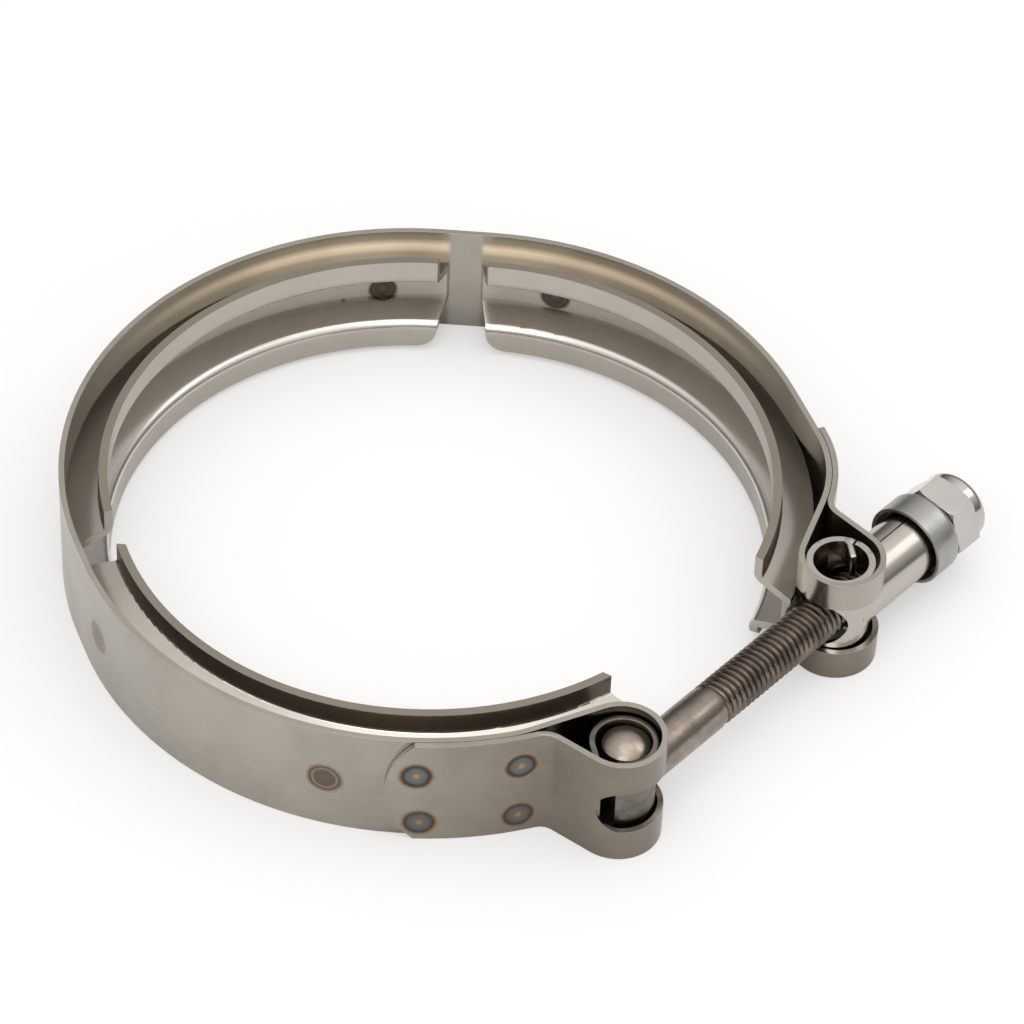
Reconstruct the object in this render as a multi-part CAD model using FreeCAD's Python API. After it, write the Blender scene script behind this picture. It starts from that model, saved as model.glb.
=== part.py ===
import FreeCAD, Part
import math
import os

# V band clamp, 5 inch class, standing open on its side edge: a folded stainless
# strip carries three V retainers and is drawn together by an M8 T-bolt.
# Units mm. The ring axis is +Z, the strip's mid width is Z = 0 and the origin is
# on the axis of the left retainer.

V = FreeCAD.Vector
up = V(0, 0, 1)
os.makedirs("parts", exist_ok=True)

# ---------------------------------------------------------------- dimensions
# strip
strip_w = 22.0          # width, along the ring axis
strip_t = 1.0           # thickness
ring_r = 60.75          # outer radius of every retained stretch
back_run = 8.98         # straight stretch of the strip at the back gap
back_run_at = 87.7      # its angle on the ring
left_run = 5.06         # straight stretch of the strip at the left gap
left_run_at = -157.7
fold_gap = 0.1          # between the ring and the tab folded back onto it

# folded loops
loop_r = 7.4            # outer radius
near_loop_at = -58.78   # each loop's direction from the axis of its retainer
near_loop_out = 5.92    # and how far outside the ring's outer radius it lies
right_loop_at = -15.68
right_loop_out = 5.60
near_strand_dir = 26.5  # direction of the inner strand into the near loop
near_strand_bend_r = 20.0
right_leave_at = 22.0
right_strand_dir = -107.5
right_strand_bend_r = 25.0
neck_r = 3.6            # bend between a loop and its tab
near_neck_dir = 145.0
right_neck_dir = 135.0
near_tab_end = -89.0    # angle of the near tab's corners
right_tab_end = 12.4
tab_bulge = 4.9         # how far the rounded tab end stands beyond its corners
slot_from = -121.0      # slot ends, measured about the loop's outermost point
slot_to = 121.0
bolt_slot_h = 9.2
tube_slot_h = 10.5
tube_hole_r = 6.3       # round end of the right slot, around the trunnion's tube
slot_in = 1.2           # the slot tools reach this far inside and outside the loop
slot_out = 1.4

# V retainers
ret_t = 1.5
groove_depth = 5.8      # from the groove's bottom to the lips' inside face
ret_w = 20.0            # width over the lips' edges, less than the strip's
lip_h = 3.6             # upright lip, from the centre of its bend to its edge
flange_angle = 20.0
lip_bend_r = 2.0
low_corner_r = 3.6      # rounded corners of the lower lips
# base and lips of each retainer, from and to, in degrees about its own axis
left_base, left_lips = (86.4, 196.9), (88.1, 195.6)
right_base, right_lips = (-21.6, 89.4), (-20.1, 88.0)
front_base, front_lips = (-163.3, -50.6), (-160.6, -53.6)

# T-bolt, sleeve, trunnion, washer, nut
bolt_d = 8.0
bar_half = 9.8          # half length of the cross bar, over its domed ends
bar_shoulder = 8.2      # where the domes start
bar_gap = 0.1           # between the pulled bar and its sleeve
sleeve_r = 5.7
sleeve_t = 1.0
sleeve_half = 9.3
sleeve_pull = 0.4
sleeve_from = -100.0    # the sleeve's wrap, and the flat leg that ends it
sleeve_to = 194.0
sleeve_leg = 3.0
shank_len = 21.8
bolt_len = 86.5         # from the cross bar to the thread's end chamfer
bolt_tip = 1.0
thread_relief = 0.25
barrel_r = 5.85
sheet_t = 1.1
barrel_half = 10.0
barrel_pull = 0.3
tube_r = 5.9
tube_end = 21.7         # from the barrel's axis
tube_blend_r = 2.2
front_hole_r = 5.0
washer_r = 7.45
washer_len = 6.2
washer_round = 1.3
washer_recess_r = 6.75
washer_recess = 3.0
nut_af = 13.0
nut_turn = 7.8          # the hexagon's turn about the bolt
nut_hex_len = 5.7
nut_len = 8.8
nut_collar_r = 6.4
nut_collar_round = 1.4
nut_chamfer = 0.6       # share of the corners that the chamfers take off
bore_clear = 0.3
seat_gap = 0.05

bolt_swing_clear = 0.55 # room around the bolt where it passes the right retainer's end
cut_over = 1.0          # cutting tools stand this far beyond what they cut
cut_reach = 4.0

half_w = strip_w / 2.0
groove_r = ring_r - strip_t - ret_t   # inside face of the groove's bottom
lip_r = groove_r - groove_depth       # inside face of the lips
lip_bend_z = ret_w / 2.0 - lip_h
bolt_r = bolt_d / 2.0
bar_pull = sleeve_pull + sleeve_r - sleeve_t - bolt_r - bar_gap   # of the bar, from the loop's centre
mid_r = ring_r - strip_t / 2.0
tab_r = ring_r + fold_gap + strip_t / 2.0
loop_mid_r = loop_r - strip_t / 2.0


# ------------------------------------------------------------------- helpers
def unit(deg):
    a = math.radians(deg)
    return V(math.cos(a), math.sin(a), 0)


def left_of(d):
    return V(-d.y, d.x, 0)


def angle_of(v):
    return math.degrees(math.atan2(v.y, v.x))


def on_line(p0, d, offset, centre, dist):
    """Centre of a bend beside a line, where it first comes within dist of a point."""
    q = p0 + left_of(d) * offset - centre
    b = q.dot(d)
    root = math.sqrt(max(b * b - q.dot(q) + dist * dist, 0.0))
    s = -b - root
    return centre + q + d * s, p0 + d * s


def meet(p, d, q, e):
    """Where two lines cross."""
    det = d.x * -e.y + e.x * d.y
    w = q - p
    s = (w.x * -e.y + e.x * w.y) / det
    return p + d * s


class Path:
    """Centre line of a strip made of straight runs and arcs, end to end."""

    def __init__(self):
        self.runs = []

    def line(self, a, b):
        self.runs.append(("line", a, b))

    def arc(self, c, r, a0, a1):
        self.runs.append(("arc", c, r, a0, a1))

    def side(self, off):
        """Edges of the path shifted to its left by off."""
        edges = []
        for run in self.runs:
            if run[0] == "line":
                n = left_of((run[2] - run[1]).normalize()) * off
                edges.append(Part.LineSegment(run[1] + n, run[2] + n).toShape())
            else:
                _, c, r, a0, a1 = run
                rr = r - off if a1 > a0 else r + off
                pts = [c + unit(a) * rr for a in (a0, (a0 + a1) / 2.0, a1)]
                edges.append(Part.Arc(*pts).toShape())
        return edges

    def ends(self):
        def point(run, first):
            if run[0] == "line":
                return run[1] if first else run[2], left_of((run[2] - run[1]).normalize())
            _, c, r, a0, a1 = run
            a = a0 if first else a1
            turn = 1.0 if a1 > a0 else -1.0
            return c + unit(a) * r, unit(a) * -turn
        return point(self.runs[0], True), point(self.runs[-1], False)

    def solid(self, t, z0, z1):
        (p0, n0), (p1, n1) = self.ends()
        edges = self.side(t / 2.0) + self.side(-t / 2.0)
        edges.append(Part.LineSegment(p0 + n0 * (t / 2.0), p0 - n0 * (t / 2.0)).toShape())
        edges.append(Part.LineSegment(p1 + n1 * (t / 2.0), p1 - n1 * (t / 2.0)).toShape())
        wire = Part.Wire(Part.__sortEdges__(edges))
        face = Part.Face(wire)
        face.translate(V(0, 0, z0))
        return face.extrude(V(0, 0, z1 - z0))


def one(shape):
    """The single solid of a shape."""
    s = shape.removeSplitter()
    if len(s.Solids) != 1:
        raise ValueError("expected one solid, got %d" % len(s.Solids))
    return s.Solids[0]


def write(shape, name):
    one(shape).exportStep("parts/%s.step" % name)


def along(base, d, r, length):
    return Part.makeCylinder(r, length, base, d)


# ------------------------------------------------------------- ring geometry
c_left = V(0, 0, 0)
c_right = c_left - left_of(unit(back_run_at)) * back_run
c_front = c_left + left_of(unit(left_run_at)) * left_run
near = c_front + unit(near_loop_at) * (ring_r + near_loop_out)
right = c_right + unit(right_loop_at) * (ring_r + right_loop_out)

# the near end, travelled counter-clockwise out of the ring
near_in = unit(near_strand_dir)
near_touch = near + left_of(near_in) * loop_mid_r
near_bend_c, near_bend_b = on_line(near_touch, near_in, near_strand_bend_r, c_front,
                                   mid_r - near_strand_bend_r)
near_leave_at = angle_of(near_bend_c - c_front)
near_back = unit(near_neck_dir)
near_off = near + left_of(near_back) * loop_mid_r
near_neck_c, near_neck_a = on_line(near_off, near_back, neck_r, c_front, tab_r + neck_r)
near_tab_at = angle_of(near_neck_c - c_front)

# the right end, travelled clockwise out of the ring
rout_dir = unit(right_leave_at - 90.0)
right_leave = c_right + unit(right_leave_at) * mid_r
right_in = unit(right_strand_dir)
right_touch = right - left_of(right_in) * loop_mid_r
rcorner = meet(right_leave, rout_dir, right_touch, right_in)
rhalf = math.radians((right_leave_at - 90.0) - right_strand_dir) / 2.0
rreach = right_strand_bend_r * math.tan(rhalf)
right_bend_a = rcorner - rout_dir * rreach
right_bend_b = rcorner + right_in * rreach
right_bend_c = right_bend_a - left_of(rout_dir) * right_strand_bend_r
right_back = unit(right_neck_dir)
right_off = right - left_of(right_back) * loop_mid_r
right_over_r = right_strand_bend_r + fold_gap + strip_t
right_neck_c, right_neck_a = on_line(right_off, right_back, -neck_r, right_bend_c,
                                     right_over_r + neck_r)
right_tab_at = angle_of(right_neck_c - right_bend_c)
over = fold_gap + strip_t
right_tab_side = left_of(rout_dir) * over


# --------------------------------------------------------------------- strip
def turn_up(a0, a1):
    while a1 < a0:
        a1 += 360.0
    return a0, a1


def turn_down(a0, a1):
    while a1 > a0:
        a1 -= 360.0
    return a0, a1


near_tip_at = near_tab_end - math.degrees(tab_bulge / tab_r)
right_tab_a = right_bend_a + right_tab_side
# corners of the right tab, on the straight run that it lies over
corner_dir = unit(right_tab_end)
right_corner = meet(right_tab_a, rout_dir, c_right, corner_dir)
right_tip = right_corner - rout_dir * tab_bulge

strip = Path()
strip.line(right_tip, right_tab_a)
strip.arc(right_bend_c, right_over_r, *turn_down(angle_of(right_tab_a - right_bend_c), right_tab_at))
strip.arc(right_neck_c, neck_r, *turn_up(angle_of(right_bend_c - right_neck_c),
                                         angle_of(right_neck_a - right_neck_c)))
strip.line(right_neck_a, right_off)
strip.arc(right, loop_mid_r, *turn_down(angle_of(right_off - right), angle_of(right_touch - right)))
strip.line(right_touch, right_bend_b)
strip.arc(right_bend_c, right_strand_bend_r, *turn_up(angle_of(right_bend_b - right_bend_c),
                                                      right_leave_at))
strip.line(right_bend_a, right_leave)
strip.arc(c_right, mid_r, right_leave_at, back_run_at)
strip.line(c_right + unit(back_run_at) * mid_r, c_left + unit(back_run_at) * mid_r)
strip.arc(c_left, mid_r, back_run_at, left_run_at + 360.0)
strip.line(c_left + unit(left_run_at) * mid_r, c_front + unit(left_run_at) * mid_r)
strip.arc(c_front, mid_r, left_run_at, near_leave_at)
strip.arc(near_bend_c, near_strand_bend_r, *turn_up(near_leave_at,
                                                    angle_of(near_bend_b - near_bend_c)))
strip.line(near_bend_b, near_touch)
strip.arc(near, loop_mid_r, *turn_down(angle_of(near_touch - near), angle_of(near_off - near)))
strip.line(near_off, near_neck_a)
strip.arc(near_neck_c, neck_r, *turn_up(angle_of(near_neck_a - near_neck_c),
                                        angle_of(c_front - near_neck_c)))
strip.arc(c_front, tab_r, near_tab_at, near_tip_at)
flat_strip = strip.solid(strip_t, -half_w, half_w)

# bolt line, from the T-bar in the near loop to the trunnion in the right loop
first = (right - near).normalize()
bar = near + first * bar_pull
barrel = right - first * barrel_pull
bolt_dir = (barrel - bar).normalize()
bolt_at = angle_of(bolt_dir)
sleeve = near + bolt_dir * sleeve_pull


def tab_end(at, out, back, path):
    """The corners taken off a tab by its rounded end."""
    end_r = (half_w ** 2 + tab_bulge ** 2) / (2.0 * tab_bulge)
    keep = along(at + back * (end_r - tab_bulge) - out * cut_reach, out, end_r, 2.0 * cut_reach)
    block = path.solid(strip_t + fold_gap, -half_w - cut_over, half_w + cut_over)
    return block.cut(keep)


near_end = Path()
near_end.arc(c_front, tab_r, near_tab_end, near_tip_at - math.degrees(cut_over / tab_r))
near_corner_out = unit(near_tab_end)
near_cut = tab_end(c_front + near_corner_out * tab_r, near_corner_out, left_of(near_corner_out), near_end)
right_end = Path()
right_end.line(right_corner, right_tip - rout_dir * cut_over)
right_cut = tab_end(right_corner, left_of(rout_dir), rout_dir, right_end)


def slot(centre, height, a0, a1, end_r0, end_r1):
    """A slot around a loop between two directions, with round ends."""
    r0, r1 = loop_r - strip_t - slot_in, loop_r + slot_out
    foot = centre - up * (height / 2.0)
    ring = Part.makeCylinder(r1, height, foot, up, a1 - a0)
    ring = ring.cut(Part.makeCylinder(r0, height, foot))
    ring.rotate(centre, up, a0)
    return ring.fuse([along(centre + unit(a) * r0, unit(a), r, r1 - r0 + r)
                      for a, r in ((a0, end_r0), (a1, end_r1))])


near_apex = (near_strand_dir + near_neck_dir - 180.0) / 2.0
right_apex = (right_strand_dir + right_neck_dir - 180.0) / 2.0
near_round = math.degrees(math.asin(bolt_slot_h / 2.0 / loop_mid_r))
right_round = math.degrees(math.asin(tube_slot_h / 2.0 / loop_mid_r))
near_slot = slot(near, bolt_slot_h, near_apex + slot_from + near_round,
                 near_apex + slot_to - near_round, bolt_slot_h / 2.0, bolt_slot_h / 2.0)
right_slot = slot(right, tube_slot_h, right_apex + slot_from + right_round, bolt_at,
                  tube_slot_h / 2.0, tube_hole_r)
band = flat_strip.cut([near_cut, right_cut, near_slot, right_slot])


# ----------------------------------------------------------------- retainers
def section():
    """The V section of a retainer, drawn in the XZ plane."""
    s = math.radians(flange_angle)
    back_r = groove_r + ret_t
    bend_r = lip_r + lip_bend_r          # where the lips' bends are centred
    inner_r = lip_bend_r - ret_t
    mid = math.radians(90.0 + flange_angle) / 2.0
    edges = []

    def bend(r, side):
        """Start, middle and end of the bend between a lip and its flange."""
        return [V(bend_r - r * math.cos(a), 0, side * (lip_bend_z - r * math.sin(a)))
                for a in (0.0, mid, math.radians(90.0) - s)]

    def root(r, side, start):
        """Where a flange's face meets the groove's bottom at a given radius."""
        return V(r, 0, start.z - side * (r - start.x) * math.tan(s))

    roots = []
    for side in (1.0, -1.0):
        face, back = bend(lip_bend_r, side), bend(inner_r, side)
        tip = side * ret_w / 2.0
        edges += [Part.Arc(*face).toShape(), Part.Arc(*back).toShape()]
        face_root, back_root = root(groove_r, side, face[2]), root(back_r, side, back[2])
        roots.append((face_root, back_root))
        for p, q in ((face[2], face_root), (back[2], back_root), (face[0], V(lip_r, 0, tip)),
                     (V(lip_r, 0, tip), V(lip_r + ret_t, 0, tip)), (V(lip_r + ret_t, 0, tip), back[0])):
            edges.append(Part.LineSegment(p, q).toShape())
    for k in (0, 1):
        edges.append(Part.LineSegment(roots[0][k], roots[1][k]).toShape())
    return Part.Face(Part.Wire(Part.__sortEdges__(edges)))


def retainer(axis, base, lips):
    face = section()
    body = face.revolve(V(0, 0, 0), V(0, 0, 1), base[1] - base[0])
    body.rotate(V(0, 0, 0), V(0, 0, 1), base[0])
    deep, out = lip_r - cut_reach, groove_r + ret_t
    over = math.degrees(cut_reach / lip_r)
    tools = []
    for b, l, turn in ((base[0], lips[0], -1.0), (base[1], lips[1], 1.0)):
        pts = [unit(b) * out, unit(l) * lip_r, unit(l) * deep,
               unit(b + turn * over) * deep, unit(b + turn * over) * (out + cut_over), unit(b) * out]
        tri = Part.Face(Part.makePolygon(pts))
        tri.translate(V(0, 0, -half_w - cut_over))
        tools.append(tri.extrude(V(0, 0, strip_w + 2.0 * cut_over)))
        # rounded corner of the lower lip
        back = math.degrees(low_corner_r / lip_r)
        at = l - turn * back
        block = Part.makeCylinder(lip_r + lip_bend_r, low_corner_r + cut_over,
                                  up * (-ret_w / 2.0 - cut_over), up, back + over)
        block = block.cut(Part.makeCylinder(deep, strip_w, up * (-ret_w / 2.0 - cut_over)))
        block.rotate(V(0, 0, 0), up, at if turn > 0 else at - back - over)
        keep = along(unit(at) * deep + up * (low_corner_r - ret_w / 2.0), unit(at), low_corner_r,
                     2.0 * cut_reach)
        tools.append(block.cut(keep))
    body = body.cut(tools)
    body.translate(axis)
    return body.cut(flat_strip)


write(band, "band_strap")
write(retainer(c_left, left_base, left_lips), "retainer_left")
bolt_room = along(bar, bolt_dir, bolt_r + bolt_swing_clear, (barrel - bar).Length)
write(retainer(c_right, right_base, right_lips).cut(bolt_room), "retainer_right")
write(retainer(c_front, front_base, front_lips), "retainer_front")


# -------------------------------------------------------------- T-bolt, sleeve
def dome(base, d, r, rise):
    """Spherical cap of a given rise on a round end."""
    big = (r * r + rise * rise) / (2.0 * rise)
    ball = Part.makeSphere(big, base - d * (big - rise))
    return ball.common(along(base, d, r, rise + 1.0))


t_bar = along(bar - up * bar_shoulder, up, bolt_r, 2.0 * bar_shoulder)
t_bar = t_bar.fuse([dome(bar + up * bar_shoulder, up, bolt_r, bar_half - bar_shoulder),
                    dome(bar - up * bar_shoulder, -up, bolt_r, bar_half - bar_shoulder)])
shank = along(bar, bolt_dir, bolt_r, shank_len)
thread_r = bolt_r - thread_relief / 2.0
thread = along(bar, bolt_dir, thread_r, bolt_len)
tip = Part.makeCone(thread_r, thread_r - bolt_tip, bolt_tip, bar + bolt_dir * bolt_len, bolt_dir)
write(t_bar.fuse([shank, thread, tip]), "t_bolt")

wrap = Path()
sleeve_mid = sleeve_r - sleeve_t / 2.0
wrap.arc(sleeve, sleeve_mid, sleeve_from, sleeve_to)
leg_start = sleeve + unit(sleeve_to) * sleeve_mid
wrap.line(leg_start, leg_start + unit(sleeve_to + 90.0) * sleeve_leg)
shell = wrap.solid(sleeve_t, -sleeve_half, sleeve_half)
write(shell.cut(along(bar, bolt_dir, bolt_r + bore_clear, 2.0 * sleeve_r)), "bolt_sleeve")

# ------------------------------------------------------------------- trunnion
outer = along(barrel - up * barrel_half, up, barrel_r, 2.0 * barrel_half)
arm = along(barrel, bolt_dir, tube_r, tube_end)
joined = outer.fuse(arm)
seam = [e for e in joined.Edges
        if e.Curve.TypeId not in ("Part::GeomCircle", "Part::GeomLine")]
try:
    soft = joined.makeFillet(tube_blend_r, seam)
    joined = soft if soft.isValid() and len(soft.Solids) == 1 else joined
except Exception:
    pass
hollow = [along(barrel - up * (barrel_half + 1.0), up, barrel_r - sheet_t, 2.0 * barrel_half + 2.0),
          along(barrel, bolt_dir, tube_r - sheet_t, tube_end + 1.0),
          along(barrel - bolt_dir * (barrel_r + 1.0), bolt_dir, front_hole_r, barrel_r + 1.0)]
write(joined.cut(hollow), "trunnion")

# ------------------------------------------------------------ washer and nut
w0 = barrel + bolt_dir * (tube_end - washer_recess + seat_gap)
cup = along(w0, bolt_dir, washer_r, washer_len)
cup = cup.cut([along(w0 - bolt_dir, bolt_dir, washer_recess_r, washer_recess + 1.0),
               along(w0, bolt_dir, bolt_r + bore_clear, washer_len + 1.0)])
far_rim = [e for e in cup.Edges if e.Curve.TypeId == "Part::GeomCircle"
           and abs(e.Curve.Radius - washer_r) < 1e-6
           and (e.Curve.Center - w0).dot(bolt_dir) > washer_len / 2.0]
write(cup.makeFillet(washer_round, far_rim), "cup_washer")

n0 = w0 + bolt_dir * (washer_len + seat_gap)
hex_r = nut_af / math.sqrt(3.0)
corners = []
side_dir = up.cross(bolt_dir)
for k in range(7):
    a = math.radians(nut_turn + 60.0 * k)
    corners.append(n0 + side_dir * (hex_r * math.cos(a)) + up * (hex_r * math.sin(a)))
block = Part.Face(Part.makePolygon(corners)).extrude(bolt_dir * nut_hex_len)
chamfer = (hex_r - nut_af / 2.0) * nut_chamfer
limit = Part.makeCone(hex_r - chamfer, hex_r + 0.2, (chamfer + 0.2) * 0.7, n0, bolt_dir)
top = n0 + bolt_dir * nut_hex_len
limit = limit.fuse([along(n0 + bolt_dir * (chamfer + 0.2) * 0.7, bolt_dir, hex_r + 0.2,
                          nut_hex_len - 1.4 * (chamfer + 0.2)),
                    Part.makeCone(hex_r - chamfer, hex_r + 0.2, (chamfer + 0.2) * 0.7, top, -bolt_dir)])
block = block.common(limit)
collar = along(top - bolt_dir * 0.5, bolt_dir, nut_collar_r, nut_len - nut_hex_len + 0.5)
rim = [e for e in collar.Edges if e.Curve.TypeId == "Part::GeomCircle"
       and (e.Curve.Center - top).dot(bolt_dir) > 0.5]
collar = collar.makeFillet(nut_collar_round, rim)
nut = block.fuse(collar).cut(along(n0 - bolt_dir, bolt_dir, thread_r + 0.05, nut_len + 2.0))
write(nut, "lock_nut")
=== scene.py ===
import math

import bmesh
import bpy
from mathutils import Matrix, Vector


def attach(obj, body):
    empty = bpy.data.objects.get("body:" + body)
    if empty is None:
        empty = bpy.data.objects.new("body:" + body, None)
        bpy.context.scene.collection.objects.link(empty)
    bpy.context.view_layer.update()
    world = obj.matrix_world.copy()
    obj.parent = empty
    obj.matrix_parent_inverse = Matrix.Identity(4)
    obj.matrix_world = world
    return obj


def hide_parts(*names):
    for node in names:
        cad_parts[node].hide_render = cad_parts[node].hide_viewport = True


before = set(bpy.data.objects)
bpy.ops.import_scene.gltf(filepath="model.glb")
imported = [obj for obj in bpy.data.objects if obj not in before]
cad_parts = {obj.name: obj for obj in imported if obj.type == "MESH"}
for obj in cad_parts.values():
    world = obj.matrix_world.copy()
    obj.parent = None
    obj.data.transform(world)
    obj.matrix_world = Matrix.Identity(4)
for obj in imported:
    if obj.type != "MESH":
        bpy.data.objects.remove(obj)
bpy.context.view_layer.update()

# ------------------------------------------------------------------ band strap
# One stainless strip, its two ends folded outward into loops and laid back on
# the ring as tabs. It is slit from rolled satin sheet and spot welded.
MM = 0.001
STRIP_OUTER = 60.75   # mm, of the ring
TAB_OUTER = 61.85     # mm, of the tab laid back on the ring
SHEET_DEPTH = 0.85 * MM   # how far a weld's tint goes into the sheet
GAP_MIDDLE = 6.6 * MM     # the gap between the retainers at the back
GAP_HALF = 2.6 * MM
STRIP_GRAIN = (0.420, 0.394, 0.350)
STRIP_DARK = (0.315, 0.292, 0.255)


def new_material(name):
    """A material with its nodes, its links and its shader."""
    m = bpy.data.materials.new(name)
    m.use_nodes = True
    return m, m.node_tree.nodes, m.node_tree.links, m.node_tree.nodes["Principled BSDF"]


def group(name, inputs, outputs):
    """An empty shader group with named sockets."""
    g = bpy.data.node_groups.new(name, "ShaderNodeTree")
    kinds = {"f": "NodeSocketFloat", "c": "NodeSocketColor", "v": "NodeSocketVector"}
    for label, kind, value in inputs:
        s = g.interface.new_socket(label, in_out="INPUT", socket_type=kinds[kind])
        s.default_value = value
    for label, kind in outputs:
        g.interface.new_socket(label, in_out="OUTPUT", socket_type=kinds[kind])
    return g, g.nodes, g.links, g.nodes.new("NodeGroupInput"), g.nodes.new("NodeGroupOutput")


def calc(nodes, links, kind, a, b=None, clamp=False):
    """A Math node on sockets or numbers."""
    n = nodes.new("ShaderNodeMath")
    n.operation = kind
    n.use_clamp = clamp
    for i, x in enumerate((a, b)):
        if x is None:
            continue
        if hasattr(x, "is_linked"):
            links.new(x, n.inputs[i])
        else:
            n.inputs[i].default_value = x
    return n.outputs[0]


def times(nodes, links, a, b):
    """A product, left unclamped."""
    return calc(nodes, links, "MULTIPLY", a, b)


def rise(nodes, links, value, start, gain):
    """0 up to a start, then climbing to 1."""
    return calc(nodes, links, "MULTIPLY", calc(nodes, links, "SUBTRACT", value, start), gain, True)


def fall(nodes, links, value, end, gain):
    """1 well below an end, falling to 0 at it."""
    return calc(nodes, links, "MULTIPLY", calc(nodes, links, "SUBTRACT", end, value), gain, True)


def blend_colour(nodes, links, factor, a, b, kind="MIX"):
    """A Mix node on colours."""
    n = nodes.new("ShaderNodeMix")
    n.data_type = "RGBA"
    n.blend_type = kind
    for i, x in ((0, factor), (6, a), (7, b)):
        if hasattr(x, "is_linked"):
            links.new(x, n.inputs[i])
        else:
            n.inputs[i].default_value = x if i == 0 else (*x, 1.0)
    return n.outputs[2]


# rolled grain: fine lines around the ring, with slow cloudy patches
grain, gn, gl, gin, gout = group(
    "rolled grain",
    [("Base", "c", (0.4, 0.4, 0.4, 1)), ("Dark", "c", (0.2, 0.2, 0.2, 1)), ("Patches", "f", 0.3),
     ("Lines", "f", 0.3), ("Roughness", "f", 0.3), ("Bump", "f", 0.1)],
    [("Color", "c"), ("Roughness", "f"), ("Normal", "v")])
at = gn.new("ShaderNodeTexCoord")
split = gn.new("ShaderNodeSeparateXYZ")
gl.new(at.outputs["Object"], split.inputs[0])
turn = calc(gn, gl, "ARCTAN2", split.outputs[1], split.outputs[0])
around = times(gn, gl, turn, 0.06)
reach = gn.new("ShaderNodeVectorMath")
reach.operation = "LENGTH"
flat = gn.new("ShaderNodeCombineXYZ")
gl.new(split.outputs[0], flat.inputs[0])
gl.new(split.outputs[1], flat.inputs[1])
gl.new(flat.outputs[0], reach.inputs[0])
wrapped = gn.new("ShaderNodeCombineXYZ")
gl.new(around, wrapped.inputs[0])
gl.new(reach.outputs["Value"], wrapped.inputs[1])
gl.new(split.outputs[2], wrapped.inputs[2])
stretch = gn.new("ShaderNodeMapping")
stretch.inputs["Scale"].default_value = (60, 300, 2600)
gl.new(wrapped.outputs[0], stretch.inputs[0])
lines = gn.new("ShaderNodeTexNoise")
lines.inputs["Scale"].default_value = 1.0
lines.inputs["Detail"].default_value = 4.0
gl.new(stretch.outputs[0], lines.inputs["Vector"])
patches = gn.new("ShaderNodeTexNoise")
patches.inputs["Scale"].default_value = 85.0
patches.inputs["Detail"].default_value = 5.0
patches.inputs["Roughness"].default_value = 0.6
gl.new(at.outputs["Object"], patches.inputs["Vector"])
cloudy = rise(gn, gl, patches.outputs[0], 0.42, 3.0)
patch_share = calc(gn, gl, "MULTIPLY", cloudy, gin.outputs["Patches"], True)
line_share = times(gn, gl, calc(gn, gl, "SUBTRACT", lines.outputs[0], 0.5), gin.outputs["Lines"])
tone = blend_colour(gn, gl, patch_share, gin.outputs["Base"], gin.outputs["Dark"])
lift = calc(gn, gl, "ADD", line_share, 1.0)
shade = gn.new("ShaderNodeVectorMath")
shade.operation = "SCALE"
gl.new(tone, shade.inputs[0])
gl.new(lift, shade.inputs["Scale"])
gl.new(shade.outputs[0], gout.inputs["Color"])
lined = calc(gn, gl, "ADD", gin.outputs["Roughness"], times(gn, gl, line_share, 0.5))
clouded = calc(gn, gl, "ADD", lined, times(gn, gl, patch_share, 0.12))
gl.new(clouded, gout.inputs["Roughness"])
bump = gn.new("ShaderNodeBump")
bump.inputs["Distance"].default_value = 0.00004
gl.new(gin.outputs["Bump"], bump.inputs["Strength"])
gl.new(lines.outputs[0], bump.inputs["Height"])
gl.new(bump.outputs[0], gout.inputs["Normal"])

# one spot weld's heat tint: a bluish nugget, an orange centre and a brown halo
weld, wn, wl, win, wout = group(
    "spot weld",
    [("Color", "c", (0.4, 0.4, 0.4, 1)), ("Roughness", "f", 0.3), ("Centre", "v", (0, 0, 0)),
     ("Radius", "f", 0.0028), ("Heat", "f", 1.0), ("Plain", "f", 0.0)],
    [("Color", "c"), ("Roughness", "f"), ("Dent", "f")])
wat = wn.new("ShaderNodeTexCoord")
wobble = wn.new("ShaderNodeTexNoise")
wobble.inputs["Scale"].default_value = 420.0
wl.new(wat.outputs["Object"], wobble.inputs["Vector"])
gap = wn.new("ShaderNodeVectorMath")
gap.operation = "DISTANCE"
wl.new(wat.outputs["Object"], gap.inputs[0])
wl.new(win.outputs["Centre"], gap.inputs[1])
share = calc(wn, wl, "DIVIDE", gap.outputs["Value"], win.outputs["Radius"])
uneven = times(wn, wl, calc(wn, wl, "SUBTRACT", wobble.outputs[0], 0.5), 0.16)
share = calc(wn, wl, "ADD", share, uneven)
ramp_place = times(wn, wl, share, 0.72)


def heat_ramp(first, last, stops):
    """A colour ramp from the weld's centre outward."""
    n = wn.new("ShaderNodeValToRGB")
    n.color_ramp.elements[0].color = (*first, 1)
    n.color_ramp.elements[1].color = (*last, 1)
    for place, colour in stops:
        n.color_ramp.elements.new(place).color = (*colour, 1)
    wl.new(ramp_place, n.inputs[0])
    return n.outputs[0]


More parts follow.
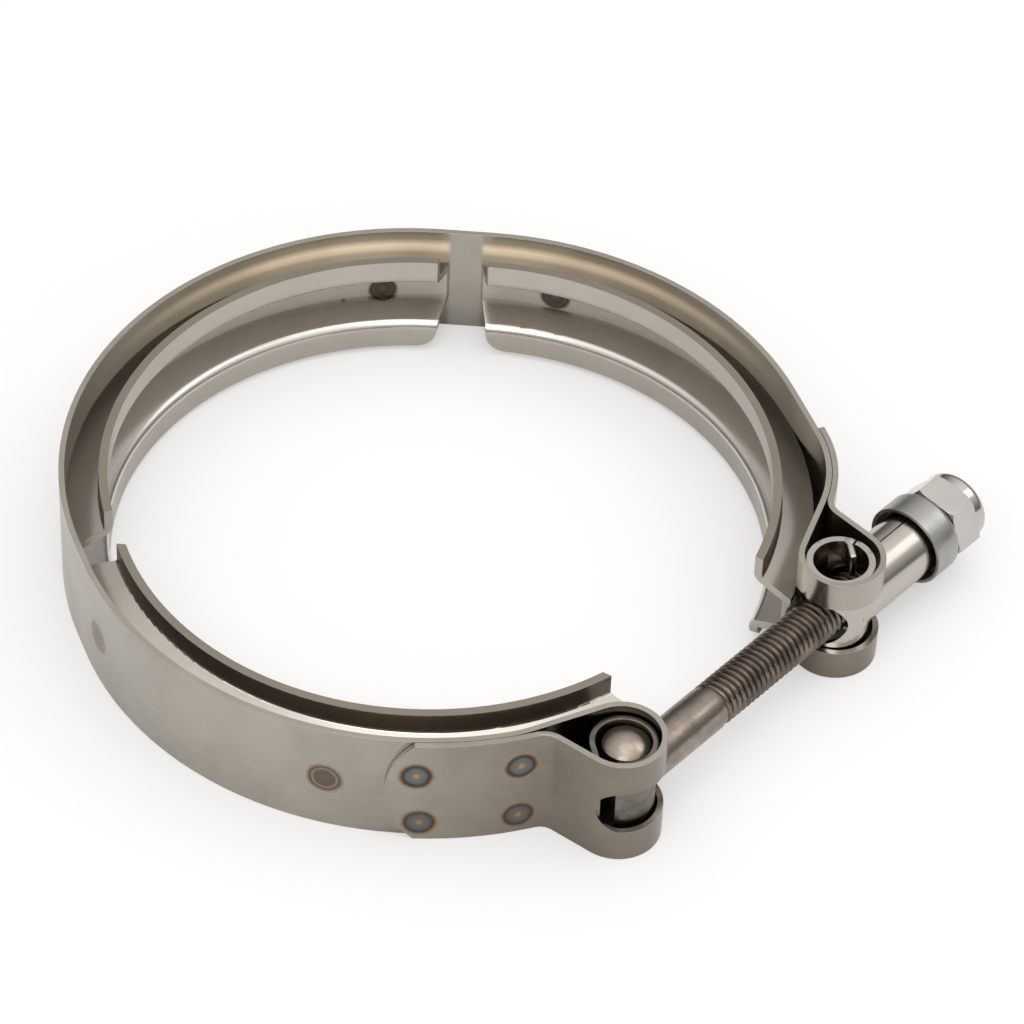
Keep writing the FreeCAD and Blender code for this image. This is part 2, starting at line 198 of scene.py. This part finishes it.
blue = heat_ramp((0.40, 0.25, 0.12), (0.30, 0.235, 0.165),
                 ((0.10, (0.36, 0.25, 0.15)), (0.19, (0.175, 0.165, 0.145)),
                  (0.46, (0.135, 0.142, 0.140)), (0.57, (0.075, 0.085, 0.092)),
                  (0.66, (0.055, 0.045, 0.040)), (0.73, (0.175, 0.10, 0.052)),
                  (0.84, (0.30, 0.225, 0.15))))
brown = heat_ramp((0.155, 0.125, 0.105), (0.29, 0.235, 0.18),
                  ((0.50, (0.135, 0.108, 0.092)), (0.57, (0.26, 0.215, 0.175)),
                   (0.64, (0.23, 0.185, 0.15)), (0.70, (0.105, 0.070, 0.048)),
                   (0.80, (0.25, 0.19, 0.135))))
tinted = blend_colour(wn, wl, win.outputs["Plain"], blue, brown)
edge = wn.new("ShaderNodeMapRange")
edge.interpolation_type = "SMOOTHSTEP"
edge.inputs["From Min"].default_value = 1.08
edge.inputs["From Max"].default_value = 1.36
edge.inputs["To Min"].default_value = 1.0
edge.inputs["To Max"].default_value = 0.0
wl.new(share, edge.inputs["Value"])
# the tint stays on the face that was welded, not on the sheet behind it
aim = wn.new("ShaderNodeVectorMath")
aim.operation = "MULTIPLY"
wl.new(win.outputs["Centre"], aim.inputs[0])
aim.inputs[1].default_value = (1, 1, 0)
outward = wn.new("ShaderNodeVectorMath")
outward.operation = "NORMALIZE"
wl.new(aim.outputs[0], outward.inputs[0])
lean = wn.new("ShaderNodeVectorMath")
lean.operation = "SUBTRACT"
wl.new(wat.outputs["Object"], lean.inputs[0])
wl.new(win.outputs["Centre"], lean.inputs[1])
depth = wn.new("ShaderNodeVectorMath")
depth.operation = "DOT_PRODUCT"
wl.new(lean.outputs[0], depth.inputs[0])
wl.new(outward.outputs[0], depth.inputs[1])
skin = fall(wn, wl, calc(wn, wl, "ABSOLUTE", depth.outputs["Value"]), SHEET_DEPTH, 6000.0)
held = calc(wn, wl, "MULTIPLY", times(wn, wl, edge.outputs[0], skin), win.outputs["Heat"], True)
wl.new(blend_colour(wn, wl, held, win.outputs["Color"], tinted), wout.inputs["Color"])
scaled = calc(wn, wl, "ADD", win.outputs["Roughness"], times(wn, wl, held, 0.08))
wl.new(scaled, wout.inputs["Roughness"])
nugget_rim = wn.new("ShaderNodeMapRange")
nugget_rim.interpolation_type = "SMOOTHSTEP"
nugget_rim.inputs["From Min"].default_value = 0.85
nugget_rim.inputs["From Max"].default_value = 1.05
nugget_rim.inputs["To Min"].default_value = 0.0
nugget_rim.inputs["To Max"].default_value = 1.0
wl.new(share, nugget_rim.inputs["Value"])
wl.new(nugget_rim.outputs[0], wout.inputs["Dent"])


def place_group(nodes, links, g, **values):
    """A shader group in a material, with its inputs set or linked."""
    n = nodes.new("ShaderNodeGroup")
    n.node_tree = g
    for key, x in values.items():
        s = n.inputs[key]
        if hasattr(x, "is_linked"):
            links.new(x, s)
        elif s.type == "RGBA":
            s.default_value = (*x, 1.0)
        else:
            s.default_value = x
    return n


def painted_groove_light_and_rim_shade(nodes, links, colour, roughness, height, up, duller):
    """The groove's bottom is made matt and painted paler, as painted light in the recess; faces
    that look straight up, such as the lips' rims, are painted darker as painted shade.
    """
    groove_half = 2.95 * MM
    bottom = fall(nodes, links, calc(nodes, links, "ABSOLUTE", height), groove_half, 3000.0)
    roughness = calc(nodes, links, "ADD", roughness, times(nodes, links, bottom, duller))
    # painted light: the groove's bottom is lifted paler
    colour = blend_colour(nodes, links, bottom, colour, (1.38, 1.38, 1.36), "MULTIPLY")
    # painted shade: faces looking straight up are darkened
    rim = rise(nodes, links, up, 0.97, 60.0)
    return blend_colour(nodes, links, rim, colour, (0.66, 0.62, 0.58), "MULTIPLY"), roughness


def painted_gold_reflection(nodes, links, colour, axes, normal):
    """A painted gold reflection band, darker either side of it, on the far side's inner face, on
    both sides of the gap.
    """
    inward = nodes.new("ShaderNodeVectorMath")
    inward.operation = "DOT_PRODUCT"
    links.new(normal, inward.inputs[0])
    inward.inputs[1].default_value = (0, -1, 0)
    far = rise(nodes, links, inward.outputs["Value"], 0.45, 2.5)
    behind = rise(nodes, links, axes.outputs[1], 20 * MM, 60.0)
    from_gap = calc(nodes, links, "SUBTRACT", axes.outputs[0], GAP_MIDDLE)
    aside = rise(nodes, links, calc(nodes, links, "ABSOLUTE", from_gap), GAP_HALF, 1500.0)
    held = times(nodes, links, times(nodes, links, far, behind), aside)
    band = nodes.new("ShaderNodeValToRGB")
    for stop in band.color_ramp.elements:
        stop.color = (0.30, 0.265, 0.22, 1)
    for spot, value in ((0.30, 0.38), (0.42, 0.68), (0.56, 0.84), (0.66, 0.60), (0.76, 0.32)):
        band.color_ramp.elements.new(spot).color = (value, value * 0.86, value * 0.67, 1)
    links.new(rise(nodes, links, axes.outputs[2], 4.0 * MM, 143.0), band.inputs[0])
    return blend_colour(nodes, links, times(nodes, links, held, 0.85), colour, band.outputs[0])


def painted_bolt_side_shade(nodes, links, colour, axes, up):
    """Painted shade on the strip's walls towards the near loop, and low on the far one; faces that
    look up are spared.
    """
    front = fall(nodes, links, axes.outputs[1], -30 * MM, 50.0)
    reach = calc(nodes, links, "ADD", axes.outputs[0], 27 * MM)
    along = calc(nodes, links, "POWER", calc(nodes, links, "MULTIPLY", reach, 18.0, True), 1.35)
    under = fall(nodes, links, axes.outputs[2], -2 * MM, 300.0)
    near = rise(nodes, links, axes.outputs[0], 58 * MM, 150.0)
    # painted shade mask: darker walls towards the near loop and low on the far loop
    dull = calc(nodes, links, "MAXIMUM", times(nodes, links, front, along),
                times(nodes, links, under, near))
    upright = calc(nodes, links, "SUBTRACT", 1.0, calc(nodes, links, "MULTIPLY", up, 2.0, True))
    held = times(nodes, links, dull, upright)
    return blend_colour(nodes, links, held, colour, (0.57, 0.53, 0.50), "MULTIPLY")


def painted_edge_highlight(nodes, links, colour, up, amount):
    """A painted highlight on slanted faces, such as the broken edges."""
    rising = rise(nodes, links, up, 0.25, 6.0)
    falling = fall(nodes, links, up, 0.88, 12.0)
    held = times(nodes, links, times(nodes, links, rising, falling), amount)
    return blend_colour(nodes, links, held, colour, (0.88, 0.85, 0.80))


def satin_steel(name, base, dark, patch, line, rough, grain_bump, welds,
                web=0.0, ring=False, edges=0.0):
    """Satin stainless with its grain and the spot welds that show on it."""
    m, nodes, links, shader = new_material(name)
    g = place_group(nodes, links, grain, Base=base, Dark=dark, Patches=patch, Lines=line,
                    Roughness=rough, Bump=grain_bump)
    colour, roughness, height = g.outputs["Color"], g.outputs["Roughness"], None
    place = nodes.new("ShaderNodeTexCoord")
    axes = nodes.new("ShaderNodeSeparateXYZ")
    links.new(place.outputs["Object"], axes.inputs[0])
    face = nodes.new("ShaderNodeNewGeometry")
    facing = nodes.new("ShaderNodeSeparateXYZ")
    links.new(face.outputs["Normal"], facing.inputs[0])
    up = facing.outputs[2]
    # painted light in the colour: web gives a paler groove bottom and shaded top rims, ring a gold
    # reflection and bolt-side shade, edges highlights on slanted faces
    if web:
        colour, roughness = painted_groove_light_and_rim_shade(nodes, links, colour, roughness, axes.outputs[2], up, web)
    if ring:
        colour = painted_gold_reflection(nodes, links, colour, axes, face.outputs["Normal"])
        colour = painted_bolt_side_shade(nodes, links, colour, axes, up)
    if edges:
        colour = painted_edge_highlight(nodes, links, colour, up, edges)
    for centre, radius, heat, plain in welds:
        w = place_group(nodes, links, weld, Color=colour, Roughness=roughness, Centre=centre,
                        Radius=radius, Heat=heat, Plain=plain)
        colour, roughness = w.outputs["Color"], w.outputs["Roughness"]
        dented = w.outputs["Dent"]
        height = dented if height is None else times(nodes, links, height, dented)
    links.new(colour, shader.inputs["Base Color"])
    links.new(roughness, shader.inputs["Roughness"])
    if height is None:
        links.new(g.outputs["Normal"], shader.inputs["Normal"])
    else:
        dent = nodes.new("ShaderNodeBump")
        dent.inputs["Strength"].default_value = 0.5
        dent.inputs["Distance"].default_value = 0.00012
        links.new(height, dent.inputs["Height"])
        links.new(g.outputs["Normal"], dent.inputs["Normal"])
        links.new(dent.outputs[0], shader.inputs["Normal"])
    shader.inputs["Metallic"].default_value = 1.0
    return m


FRONT_AXIS = Vector((1.919, -4.684)) * MM


def on_ring(axis, degrees, radius, height):
    """A point at an angle and radius about one retainer's axis."""
    a = math.radians(degrees)
    return (axis.x + radius * MM * math.cos(a), axis.y + radius * MM * math.sin(a), height * MM)


# each weld: centre, radius, heat, and how plain its tint is
strap_welds = [
    (on_ring(FRONT_AXIS, -88.7, TAB_OUTER, 4.0), 2.5 * MM, 1.0, 0.0),
    (on_ring(FRONT_AXIS, -88.1, TAB_OUTER, -7.0), 2.5 * MM, 1.0, 0.15),
    (on_ring(FRONT_AXIS, -72.7, TAB_OUTER, 4.6), 2.5 * MM, 1.0, 0.0),
    (on_ring(FRONT_AXIS, -72.9, TAB_OUTER, -7.0), 2.5 * MM, 1.0, 0.15),
    (on_ring(FRONT_AXIS, -103.0, STRIP_OUTER, -0.2), 2.6 * MM, 1.0, 1.0),
    (on_ring(FRONT_AXIS, -151.5, STRIP_OUTER, -0.7), 2.5 * MM, 0.7, 1.0),
]
# the strip's colour carries painted light: a gold reflection at the back, shade towards the near
# loop, highlights on slanted edges
strip_steel = satin_steel("strip satin stainless", STRIP_GRAIN, STRIP_DARK, 0.60, 0.14, 0.22, 0.10,
                          strap_welds, ring=True, edges=0.75)


def edge_broken(node, body, material, width, steps=2, sharp=38.0, sawn=None):
    """The node's own solid with its sheared edges broken, as tumbling leaves them."""
    bm = bmesh.new()
    bm.from_mesh(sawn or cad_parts[node].data)
    bmesh.ops.remove_doubles(bm, verts=bm.verts, dist=1e-6)
    bmesh.ops.join_triangles(bm, faces=bm.faces, angle_face_threshold=math.radians(12),
                             angle_shape_threshold=math.radians(50))
    mesh = bpy.data.meshes.new(node + "_finished")
    bm.to_mesh(mesh)
    bm.free()
    for p in mesh.polygons:
        p.use_smooth = True
    o = bpy.data.objects.new(node + "_finished", mesh)
    bpy.context.scene.collection.objects.link(o)
    mesh.materials.append(material)
    breaker = o.modifiers.new("edge break", "BEVEL")
    breaker.width = width
    breaker.segments = steps
    breaker.limit_method = "ANGLE"
    breaker.angle_limit = math.radians(sharp)
    even = o.modifiers.new("even shading", "WEIGHTED_NORMAL")
    even.keep_sharp = False
    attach(o, body)
    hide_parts(node)
    return o


edge_broken("band_strap", "band", strip_steel, 0.22 * MM, steps=3)

# ------------------------------------------------------------------- retainers
# Three roll-formed V sections with upright lips. Each is spot welded through
# the bottom of its groove to the strip.
LEFT_AXIS = Vector((0, 0))
RIGHT_AXIS = Vector((8.968, -0.368)) * MM
RETAINER_GRAIN = (0.468, 0.438, 0.394)
GROOVE_BOTTOM = 58.25   # mm, the radius of the groove's inside face
retainer_welds = {
    "retainer_left": [(on_ring(LEFT_AXIS, 98.1, GROOVE_BOTTOM, -1.3), 2.2 * MM, 1.0, 0.65),
                      (on_ring(LEFT_AXIS, 136.4, GROOVE_BOTTOM, -4.0), 0.8 * MM, 0.9, 1.0),
                      (on_ring(LEFT_AXIS, 105.3, GROOVE_BOTTOM, -3.8), 0.8 * MM, 0.9, 1.0)],
    "retainer_right": [(on_ring(RIGHT_AXIS, 76.0, GROOVE_BOTTOM, -0.1), 2.3 * MM, 1.0, 0.65)],
    "retainer_front": [],
}
for node, welds in retainer_welds.items():
    # each retainer's colour carries painted light: a paler groove bottom, darker top rims,
    # highlights on slanted edges
    steel = satin_steel(node + " stainless", RETAINER_GRAIN, STRIP_DARK, 0.25, 0.07, 0.20, 0.02,
                        welds, web=0.44, edges=0.6)
    edge_broken(node, "band", steel, 0.24 * MM, steps=3)

# ---------------------------------------------------------------------- T-bolt
# Forged M8 bolt: a round cross bar with domed ends, a plain shank and a rolled
# coarse thread with narrow flat crests.
BAR = Vector((37.119, -60.930, 0)) * MM
BOLT_DIR = Vector((0.642335, 0.766424, 0))
BOLT_ACROSS = Vector((-BOLT_DIR.y, BOLT_DIR.x, 0))
BOLT_R = 4.0 * MM
PITCH = 1.25 * MM
THREAD_DEPTH = 0.66 * MM
THREAD_START = 22.3 * MM
THREAD_END = 87.0 * MM
SHANK_END = 21.0 * MM
NECK_END = 23.2 * MM
BAR_SHOULDER = 8.2 * MM   # half the cross bar's straight length
BAR_END = 9.8 * MM
ROUND_STEPS = 64
bolt_frame = Matrix((BOLT_ACROSS, (0, 0, 1), BOLT_DIR)).transposed().to_4x4()
bolt_frame.translation = BAR


def worn_steel(name, base, dark, rough):
    """Dull worn steel with cloudy darker patches and fine pits."""
    m, nodes, links, shader = new_material(name)
    where = nodes.new("ShaderNodeTexCoord")
    cloud = nodes.new("ShaderNodeTexNoise")
    cloud.inputs["Scale"].default_value = 210.0
    cloud.inputs["Detail"].default_value = 6.0
    cloud.inputs["Roughness"].default_value = 0.62
    links.new(where.outputs["Object"], cloud.inputs["Vector"])
    share = rise(nodes, links, cloud.outputs[0], 0.38, 3.4)
    colour = blend_colour(nodes, links, share, base, dark)
    speck = nodes.new("ShaderNodeTexNoise")
    speck.inputs["Scale"].default_value = 1500.0
    speck.inputs["Detail"].default_value = 3.0
    links.new(where.outputs["Object"], speck.inputs["Vector"])
    soot = tuple(0.6 * c for c in dark)
    sooty = rise(nodes, links, speck.outputs[0], 0.55, 1.6)
    colour = blend_colour(nodes, links, sooty, colour, soot)
    links.new(colour, shader.inputs["Base Color"])
    clouded = calc(nodes, links, "ADD", times(nodes, links, share, 0.15), rough)
    links.new(clouded, shader.inputs["Roughness"])
    pit = nodes.new("ShaderNodeBump")
    pit.inputs["Strength"].default_value = 0.2
    pit.inputs["Distance"].default_value = 0.00005
    links.new(speck.outputs[0], pit.inputs["Height"])
    links.new(pit.outputs[0], shader.inputs["Normal"])
    shader.inputs["Metallic"].default_value = 1.0
    return m


bolt_steel = worn_steel("bolt dull steel", (0.35, 0.298, 0.25), (0.20, 0.168, 0.145), 0.22)
# the cross bar's round middle, in shade in the loop, takes a darker painted-shade copy of the
# steel; its domed ends take a lighter lit copy
bar_shaded_steel = worn_steel("cross bar shaded steel", (0.14, 0.122, 0.108), (0.085, 0.074, 0.066), 0.34)
dome_lit_steel = worn_steel("cross bar lit end", (0.38, 0.33, 0.275), (0.26, 0.22, 0.185), 0.22)
thread_steel = worn_steel("bolt thread steel", (0.24, 0.195, 0.162), (0.095, 0.077, 0.066), 0.20)


def finish_mesh(name, bm, body, material):
    """A finished bmesh as a piece of the clamp, sharp only at its real corners."""
    bmesh.ops.recalc_face_normals(bm, faces=bm.faces)
    mesh = bpy.data.meshes.new(name)
    bm.to_mesh(mesh)
    bm.free()
    for p in mesh.polygons:
        p.use_smooth = True
    mesh.set_sharp_from_angle(angle=math.radians(34))
    o = bpy.data.objects.new(name, mesh)
    bpy.context.scene.collection.objects.link(o)
    mesh.materials.append(material)
    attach(o, body)
    return o


def lathe(bm, profile, steps, placed):
    """Spins a profile of (radius, height) about the local Z axis, then places it."""
    verts = [bm.verts.new((r, 0, h)) for r, h in profile]
    edges = [bm.edges.new(p) for p in zip(verts, verts[1:])]
    bmesh.ops.spin(bm, geom=verts + edges, cent=(0, 0, 0), axis=(0, 0, 1), angle=math.tau,
                   steps=steps, use_merge=True)
    bmesh.ops.remove_doubles(bm, verts=bm.verts, dist=1e-7)
    bmesh.ops.transform(bm, matrix=placed, verts=bm.verts)


def dome_profile(r, shoulder, end, steps):
    """Half outline of a round bar with domed ends."""
    crown = end - shoulder
    big = (r * r + crown * crown) / (2 * crown)
    sweep = math.asin(r / big)
    angles = [sweep * k / steps for k in range(steps + 1)]
    arc = [(big * math.sin(a), end - big * (1 - math.cos(a))) for a in angles]
    return [(x, -h) for x, h in arc] + [(x, h) for x, h in reversed(arc)]


bar = bmesh.new()
lathe(bar, dome_profile(BOLT_R, BAR_SHOULDER, BAR_END, 10), ROUND_STEPS, Matrix.Translation(BAR))
bar_piece = finish_mesh("t_bolt_bar", bar, "t_bolt", bar_shaded_steel)
# the domed ends take the lit copy, the round middle the painted-shade copy
bar_piece.data.materials.append(dome_lit_steel)
for p in bar_piece.data.polygons:
    p.material_index = int(abs(p.center.z) > BAR_SHOULDER)

shank = bmesh.new()
lathe(shank, [(0.0, 0.0), (BOLT_R, 0.0), (BOLT_R, SHANK_END), (3.72 * MM, 22.0 * MM),
              (3.55 * MM, NECK_END), (0.0, NECK_END)], ROUND_STEPS, bolt_frame)
shank_piece = finish_mesh("t_bolt_shank", shank, "t_bolt", bolt_steel)

# the thread: one pitch of its profile, spun along the helix
turns = int((THREAD_END - THREAD_START) / PITCH)
steps_a_turn = 40
root = BOLT_R - THREAD_DEPTH
shoulder = BOLT_R - 0.03 * MM
thread = bmesh.new()
profile = [(root, -0.5), (root, -0.34), (shoulder, -0.09), (BOLT_R, -0.05),
           (BOLT_R, 0.05), (shoulder, 0.09), (root, 0.34), (root, 0.5)]
verts = [thread.verts.new((r, 0, h * PITCH + THREAD_START)) for r, h in profile]
edges = [thread.edges.new(p) for p in zip(verts, verts[1:])]
bmesh.ops.spin(thread, geom=verts + edges, cent=(0, 0, 0), axis=(0, 0, 1), angle=math.tau * turns,
               steps=steps_a_turn * turns, dvec=(0, 0, PITCH / steps_a_turn), use_merge=False)
bmesh.ops.remove_doubles(thread, verts=thread.verts, dist=2e-6)
bmesh.ops.transform(thread, matrix=bolt_frame, verts=thread.verts)
finish_mesh("t_bolt_thread", thread, "t_bolt", thread_steel)
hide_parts("t_bolt")

# ---------------------------------------------------------------------- sleeve
# Thin stainless sheet rolled into an open C, slipped in the near loop as the
# liner that the cross bar turns in.
# the sleeve's dark colour is painted shade, for where it sits in the loop's shadow
sleeve_shaded_steel = worn_steel("sleeve shaded stainless", (0.20, 0.185, 0.165), (0.10, 0.092, 0.084), 0.26)
edge_broken("bolt_sleeve", "t_bolt", sleeve_shaded_steel, 0.12 * MM)

# -------------------------------------------------------------------- trunnion
# Pressed from one sheet, rolled into a barrel and closed into a tube around
# the bolt.
trunnion_steel = satin_steel("trunnion pressed stainless", (0.50, 0.47, 0.43), (0.33, 0.31, 0.28),
                             0.25, 0.10, 0.17, 0.1, [])
BARREL = Vector((72.661, -18.522, 0)) * MM
barrel_frame = Matrix((BOLT_DIR, BOLT_ACROSS, (0, 0, 1))).transposed().to_4x4()
barrel_frame.translation = BARREL


def saw(mesh, cuts):
    """The mesh with thin boxes, each a matrix on a unit cube, sawn out of it."""
    blades = bmesh.new()
    for m in cuts:
        bmesh.ops.create_cube(blades, size=1.0, matrix=m)
    blade_mesh = bpy.data.meshes.new("blades")
    blades.to_mesh(blade_mesh)
    blades.free()
    blade, work = bpy.data.objects.new("blade", blade_mesh), bpy.data.objects.new("work", mesh)
    for o in (blade, work):
        bpy.context.scene.collection.objects.link(o)
    cutting = work.modifiers.new("saw", "BOOLEAN")
    cutting.operation, cutting.solver, cutting.object = "DIFFERENCE", "EXACT", blade
    graph = bpy.context.evaluated_depsgraph_get()
    cut = bpy.data.meshes.new_from_object(work.evaluated_get(graph), depsgraph=graph)
    for o in (blade, work):
        bpy.data.objects.remove(o)
    return cut


def blade_at(degrees, place, size):
    """A unit cube's matrix for one cut, placed and sized in mm on the barrel's axes."""
    turned = barrel_frame @ Matrix.Rotation(math.radians(degrees), 4, "Z")
    moved = turned @ Matrix.Translation(Vector(place) * MM)
    return moved @ Matrix.Diagonal((*(Vector(size) * MM), 1))


# the two wings meet in a seam along the tube and part at the barrel's rim
seam = blade_at(0, (15.2, 0.45, 5.6), (16.0, 0.32, 1.2))
parting = blade_at(12, (5.4, 0, 9.0), (2.4, 0.4, 5.0))
edge_broken("trunnion", "trunnion", trunnion_steel, 0.24 * MM, steps=3,
            sawn=saw(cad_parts["trunnion"].data, [seam, parting]))

# one wing's end is rolled inward at the rim
WALL = 1.3 * MM
BEND = 1.3 * MM
CURL_LOW, CURL_HIGH = 5.05 * MM, 9.95 * MM
ROLL_FROM, ROLLED, STRAIGHT = 35.0, 75.0, 3.2 * MM
curl = bmesh.new()
middle = Matrix.Translation((BEND, 0, (CURL_LOW + CURL_HIGH) / 2))
upright = Matrix.Rotation(math.radians(90), 4, "X")
bmesh.ops.create_grid(curl, x_segments=1, y_segments=1, size=0.5,
                      matrix=middle @ upright @ Matrix.Diagonal((WALL, CURL_HIGH - CURL_LOW, 1, 1)))
end = bmesh.ops.spin(curl, geom=curl.faces[:], cent=(0, 0, 0), axis=(0, 0, -1),
                     angle=math.radians(ROLLED), steps=10)
tip = [f for f in end["geom_last"] if isinstance(f, bmesh.types.BMFace)]
straight = bmesh.ops.extrude_face_region(curl, geom=tip)
far_end = [v for v in straight["geom"] if isinstance(v, bmesh.types.BMVert)]
heading = Matrix.Rotation(math.radians(-ROLLED), 3, "Z") @ Vector((0, -STRAIGHT, 0))
bmesh.ops.translate(curl, vec=heading, verts=far_end)
bmesh.ops.delete(curl, geom=tip, context="FACES")
on_wall = Matrix.Rotation(math.radians(ROLL_FROM), 4, "Z") @ Matrix.Translation((4.1 * MM, 0, 0))
bmesh.ops.transform(curl, verts=curl.verts, matrix=barrel_frame @ on_wall)
rim_edges = [e for e in curl.edges if e.is_manifold and e.calc_face_angle(0.0) > 0.7]
bmesh.ops.bevel(curl, geom=rim_edges, offset=0.45 * MM, segments=4, affect="EDGES",
                profile=0.5, material=-1)
finish_mesh("trunnion_curl", curl, "trunnion", trunnion_steel)

# -------------------------------------------------------------- washer and nut
# A turned steel cup washer caps the tube's end. A bright plated hexagon lock
# nut with a rounded collar drives it along the bolt.
washer_steel = worn_steel("washer matt steel", (0.40, 0.395, 0.38), (0.385, 0.38, 0.365), 0.30)
edge_broken("cup_washer", "washer", washer_steel, 0.15 * MM)
nut_steel = satin_steel("nut bright steel", (0.54, 0.515, 0.495), (0.42, 0.40, 0.385),
                        0.35, 0.05, 0.12, 0.03, [])
edge_broken("lock_nut", "nut", nut_steel, 0.12 * MM)

# ----------------------------------------------------------------------- stage
# A pale paper floor under the clamp, two soft boxes and a pale room, and the
# camera that looks down over the near side.
floor_z = -11.0 * MM
FLOOR_SINK = 0.05 * MM    # just clear of the strip's edge
floor_mesh = bmesh.new()
bmesh.ops.create_grid(floor_mesh, x_segments=1, y_segments=1, size=1.4)
bmesh.ops.translate(floor_mesh, verts=floor_mesh.verts, vec=(0, 0, floor_z - FLOOR_SINK))
fm = bpy.data.meshes.new("floor")
floor_mesh.to_mesh(fm)
floor_mesh.free()
floor = bpy.data.objects.new("floor", fm)
bpy.context.scene.collection.objects.link(floor)
paper, pn, pl, ps = new_material("paper white")
ps.inputs["Base Color"].default_value = (0.85, 0.85, 0.85, 1)
ps.inputs["Roughness"].default_value = 0.9
ps.inputs["Specular IOR Level"].default_value = 0.0
seen = pn.new("ShaderNodeLightPath")
glow = pn.new("ShaderNodeEmission")
glow.inputs["Color"].default_value = (1, 1, 1, 1)
glow.inputs["Strength"].default_value = 1.0
lit = pn.new("ShaderNodeMixShader")
# the paper's own white, left dark only in the barrel's foot
foot_at = pn.new("ShaderNodeTexCoord")
foot = pn.new("ShaderNodeVectorMath")
foot.operation = "DISTANCE"
foot.inputs[1].default_value = (*BARREL.xy, floor_z)
pl.new(foot_at.outputs["Object"], foot.inputs[0])
white_share = times(pn, pl, rise(pn, pl, foot.outputs["Value"], 5.0 * MM, 700.0), 0.44)
pl.new(times(pn, pl, seen.outputs["Is Camera Ray"], white_share), lit.inputs[0])
pl.new(ps.outputs[0], lit.inputs[1])
pl.new(glow.outputs[0], lit.inputs[2])
pl.new(lit.outputs[0], pn["Material Output"].inputs["Surface"])
fm.materials.append(paper)


def soft_box(name, place, target, size, power):
    """A rectangular lamp that faces its target."""
    lamp = bpy.data.lights.new(name, "AREA")
    lamp.shape = "RECTANGLE"
    lamp.size, lamp.size_y = size
    lamp.energy = power
    o = bpy.data.objects.new(name, lamp)
    o.location = place
    o.rotation_euler = (Vector(target) - Vector(place)).to_track_quat("-Z", "Y").to_euler()
    bpy.context.scene.collection.objects.link(o)


soft_box("right box", (0.70, 0.16, 0.72), (0.07, -0.02, 0), (0.42, 0.42), 0.58)
soft_box("front strip", (-0.10, -0.80, 0.86), (0, 0, 0), (0.70, 0.22), 1.8)

# a pale room with a darker ring of walls low down
world = bpy.data.worlds.new("studio")
bpy.context.scene.world = world
world.use_nodes = True
room, rl = world.node_tree.nodes, world.node_tree.links
toward = room.new("ShaderNodeTexCoord")
walls = room.new("ShaderNodeValToRGB")
sky = walls.color_ramp
sky.elements[0].color = (0.06, 0.058, 0.056, 1)
sky.elements[1].color = (1.0, 0.99, 0.97, 1)
wall_tones = ((0.22, 0.11), (0.40, 0.22), (0.62, 0.37), (0.72, 0.45), (0.80, 0.52),
              (0.92, 0.58), (0.96, 1.0))
for place, value in wall_tones:
    sky.elements.new(place).color = (value, value * 0.985, value * 0.965, 1)
lean = room.new("ShaderNodeVectorMath")
lean.operation = "DOT_PRODUCT"
lean.inputs[1].default_value = Vector((0.05, -0.12, 1.0)).normalized()
rl.new(toward.outputs["Generated"], lean.inputs[0])
rl.new(lean.outputs["Value"], walls.inputs[0])
rl.new(walls.outputs[0], room["Background"].inputs[0])
room["Background"].inputs[1].default_value = 2.4

# the camera looks down over the near side of the ring
elevation, roll = math.radians(44.28), math.radians(2.53)
ce, se, cr, sr = math.cos(elevation), math.sin(elevation), math.cos(roll), math.sin(roll)
lie = Matrix(((1, 0, 0), (0, 0, -1), (0, 1, 0)))
tilt = Matrix(((1, 0, 0), (0, ce, -se), (0, se, ce)))
spin = Matrix(((cr, -sr, 0), (sr, cr, 0), (0, 0, 1)))
look = spin @ tilt @ lie
camera_data = bpy.data.cameras.new("camera")
camera_data.sensor_width = 36.0
camera_data.lens = 171.15
camera_data.clip_start = 0.01
camera = bpy.data.objects.new("camera", camera_data)
pose = Matrix((look[0], -look[1], -look[2])).transposed().to_4x4()
pose.translation = -(look.transposed() @ (Vector((-16.93, -0.76, 839.75)) * MM))
camera.matrix_world = pose
bpy.context.scene.collection.objects.link(camera)
bpy.context.scene.camera = camera
bpy.context.scene.view_settings.view_transform = "Standard"
